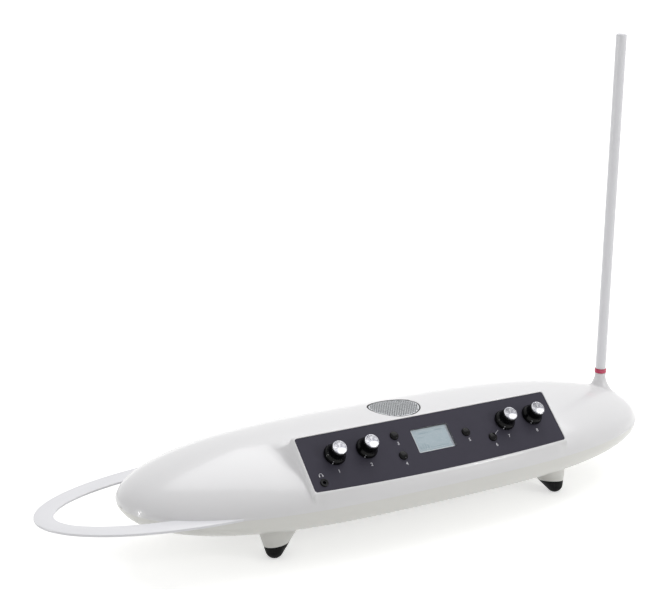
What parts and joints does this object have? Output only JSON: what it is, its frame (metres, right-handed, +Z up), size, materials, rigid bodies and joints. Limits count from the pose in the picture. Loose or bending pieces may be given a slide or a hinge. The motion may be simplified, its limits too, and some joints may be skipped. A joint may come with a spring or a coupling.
{
  "type": "theremin",
  "caption": "Desktop theremin: lens-shaped two-shell body on splayed feet, sloping control panel, upright pitch antenna and flat volume loop.",
  "frame": {"origin": "on the ground under the middle of the body", "axes": "+X towards the pitch antenna, +Y to the back, +Z up"},
  "size_m": [0.7346, 0.2164, 0.5101],
  "materials": {
    "shell": "warm white gloss moulding",
    "panel": "satin charcoal with a violet cast",
    "window": "clear pane",
    "display": "pale cyan-grey display glass",
    "frame": "black moulding",
    "board": "green solder mask",
    "knob": "gloss black moulding",
    "cap": "spun aluminium, bright",
    "steel": "plated steel",
    "housing": "pressed metal housing",
    "button": "black domed key",
    "grille": "light grey perforated sheet",
    "speaker": "black paper and pressed frame",
    "magnet": "ferrite magnet",
    "antenna": "pale satin silver",
    "ring": "crimson ring",
    "brass": "turned brass",
    "rubber": "black rubber",
    "lead": "insulated wire",
    "ribbon": "grey flat cable"
  },
  "bodies": {
    "case": {"top_shell": "shell", "bottom_shell": "shell", "control_panel": "panel", "lcd_window": "window", "lcd_glass": "display", "lcd_frame": "frame", "panel_board": "board", "tact_switches": "frame", "outer_left_potentiometer": "housing", "inner_left_potentiometer": "housing", "inner_right_potentiometer": "housing", "outer_right_encoder": "housing", "control_nuts": "steel", "headphone_jack": "frame", "headphone_nut": "frame", "speaker_grille": "grille", "speaker_basket": "speaker", "speaker_cone": "speaker", "speaker_magnet": "magnet", "antenna_ring": "ring", "antenna_socket": "brass", "volume_loop": "antenna", "front_right_foot": "rubber", "front_left_foot": "rubber", "rear_right_foot": "rubber", "rear_left_foot": "rubber", "rear_plate": "panel", "output_jacks": "frame", "output_jack_nuts": "steel", "usb_socket": "steel", "power_inlet": "frame", "power_switch": "frame", "main_board": "board", "pitch_oscillator_board": "board", "volume_oscillator_board": "board", "antenna_leads": "lead", "speaker_lead": "frame", "ribbon_cable": "ribbon", "stand_insert": "steel", "small_screws": "steel", "shell_screws": "steel"},
    "outer_left_control": {"outer_left_knob": "knob", "outer_left_knob_cap": "cap", "outer_left_shaft": "steel"},
    "inner_left_control": {"inner_left_knob": "knob", "inner_left_knob_cap": "cap", "inner_left_shaft": "steel"},
    "inner_right_control": {"inner_right_knob": "knob", "inner_right_knob_cap": "cap", "inner_right_shaft": "steel"},
    "outer_right_control": {"outer_right_knob": "knob", "outer_right_knob_cap": "cap", "outer_right_shaft": "steel"},
    "upper_left_key": {"upper_left_button": "button"},
    "lower_left_key": {"lower_left_button": "button"},
    "upper_right_key": {"upper_right_button": "button"},
    "lower_right_key": {"lower_right_button": "button"},
    "power_key": {"power_button": "button"},
    "pitch_rod": {"pitch_antenna": "antenna"}
  },
  "joints": [
    {"name": "outer_left_turn", "type": "hinge", "parent": "case", "child": "outer_left_control", "pos_m": [-0.1205, -0.07481, 0.1093], "axis": [0, -0.6717, 0.7408], "range_deg": [-300, 0]},
    {"name": "inner_left_turn", "type": "hinge", "parent": "case", "child": "inner_left_control", "pos_m": [-0.0827, -0.07481, 0.1093], "axis": [0, -0.6717, 0.7408], "range_deg": [-300, 0]},
    {"name": "inner_right_turn", "type": "hinge", "parent": "case", "child": "inner_right_control", "pos_m": [0.0923, -0.07481, 0.1093], "axis": [0, -0.6717, 0.7408], "range_deg": [-300, 0]},
    {"name": "outer_right_turn", "type": "hinge", "parent": "case", "child": "outer_right_control", "pos_m": [0.1292, -0.07481, 0.1093], "axis": [0, -0.6717, 0.7408], "continuous": true},
    {"name": "upper_left_press", "type": "slide", "parent": "case", "child": "upper_left_key", "axis": [0, 0.6717, -0.7408], "range_m": [0, 0.0008], "stiffness_N_per_m": 900, "springref_m": -0.0006},
    {"name": "lower_left_press", "type": "slide", "parent": "case", "child": "lower_left_key", "axis": [0, 0.6717, -0.7408], "range_m": [0, 0.0008], "stiffness_N_per_m": 900, "springref_m": -0.0006},
    {"name": "upper_right_press", "type": "slide", "parent": "case", "child": "upper_right_key", "axis": [0, 0.6717, -0.7408], "range_m": [0, 0.0008], "stiffness_N_per_m": 900, "springref_m": -0.0006},
    {"name": "lower_right_press", "type": "slide", "parent": "case", "child": "lower_right_key", "axis": [0, 0.6717, -0.7408], "range_m": [0, 0.0008], "stiffness_N_per_m": 900, "springref_m": -0.0006},
    {"name": "power_press", "type": "slide", "parent": "case", "child": "power_key", "axis": [0, -1, 0], "range_m": [0, 0.0025], "stiffness_N_per_m": 500, "springref_m": -0.001},
    {"name": "antenna_lift", "type": "slide", "parent": "case", "child": "pitch_rod", "axis": [0, 0, 1], "range_m": [0, 0.03]}
  ]
}
